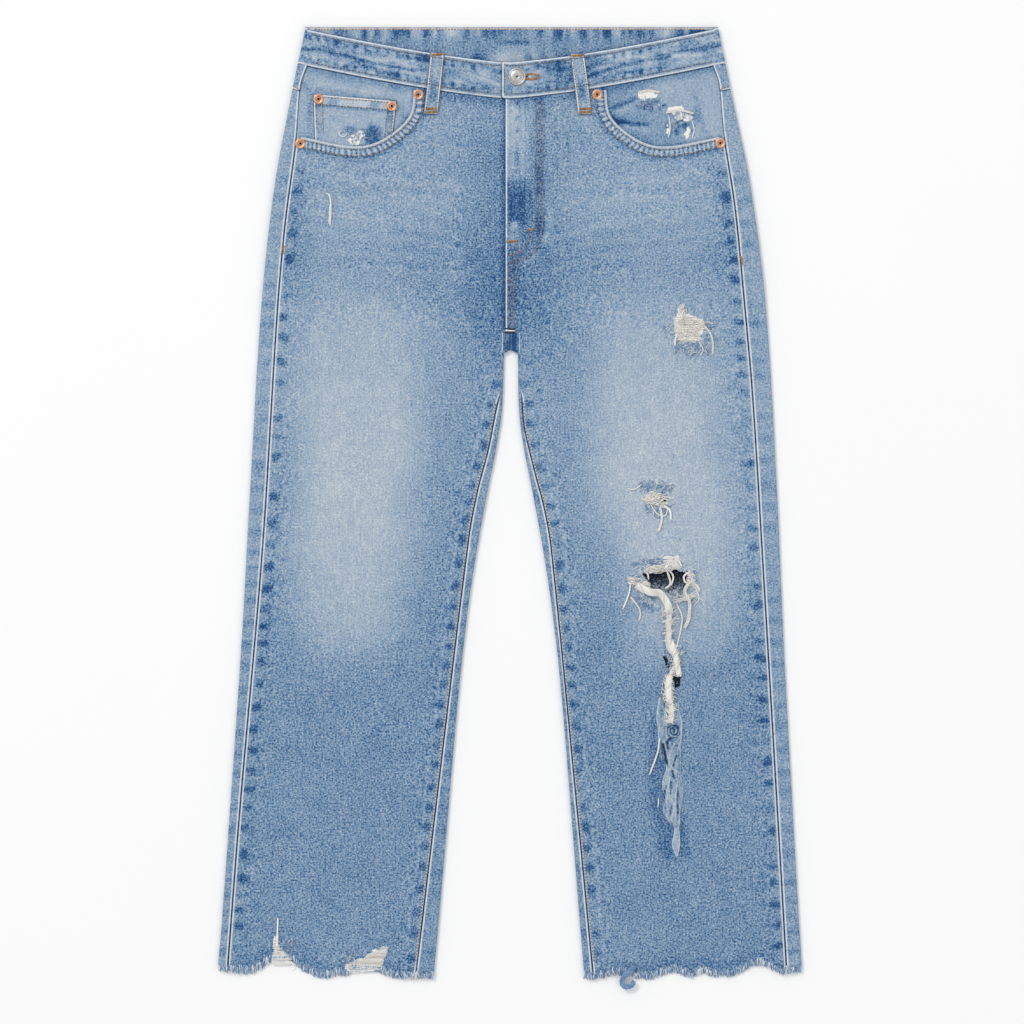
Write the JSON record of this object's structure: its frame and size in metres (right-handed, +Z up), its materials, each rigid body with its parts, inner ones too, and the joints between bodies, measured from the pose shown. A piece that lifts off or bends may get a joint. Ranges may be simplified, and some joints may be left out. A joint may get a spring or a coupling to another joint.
{
  "type": "ripped denim jeans",
  "caption": "Cropped straight-leg light-wash denim jeans laid flat, front up, with a torn knee, worn patches and raw frayed hems.",
  "frame": {"origin": "centre of the footprint on the surface the jeans lie on", "axes": "+Z up out of the front of the jeans, +Y from the hems to the waist, +X to the wearer's left"},
  "size_m": [0.584, 0.948, 0.0123],
  "materials": {
    "denim_front": "washed light-blue twill",
    "denim_back": "washed mid-blue twill",
    "denim_band": "washed light-blue twill, doubled",
    "denim_trim": "washed light-blue twill",
    "denim_pocket": "faded light-blue twill",
    "weft": "bare white cotton yarn",
    "zip_tape": "woven tape",
    "button_metal": "brushed, worn silver",
    "rivet_metal": "worn copper plate"
  },
  "bodies": {
    "root": {"back_panel_right": "denim_back", "back_panel_left": "denim_back", "back_yoke_right": "denim_back", "back_yoke_left": "denim_back", "back_pocket_right": "denim_back", "back_pocket_left": "denim_back", "pocket_facing_right": "denim_pocket", "pocket_facing_left": "denim_pocket", "coin_pocket": "denim_pocket", "fly_shield": "denim_trim", "zip": "zip_tape", "front_panel_right": "denim_front", "front_panel_left": "denim_front", "waistband": "denim_band", "belt_loop_front_right": "denim_trim", "belt_loop_front_left": "denim_trim", "belt_loop_back_right": "denim_trim", "belt_loop_back_centre": "denim_trim", "belt_loop_back_left": "denim_trim", "button": "button_metal", "rivet_scoop_right": "rivet_metal", "rivet_side_right": "rivet_metal", "rivet_coin_outer": "rivet_metal", "rivet_coin_inner": "rivet_metal", "rivet_scoop_left": "rivet_metal", "rivet_side_left": "rivet_metal", "torn_strip": "denim_trim", "torn_yarns": "weft"}
  },
  "joints": []
}
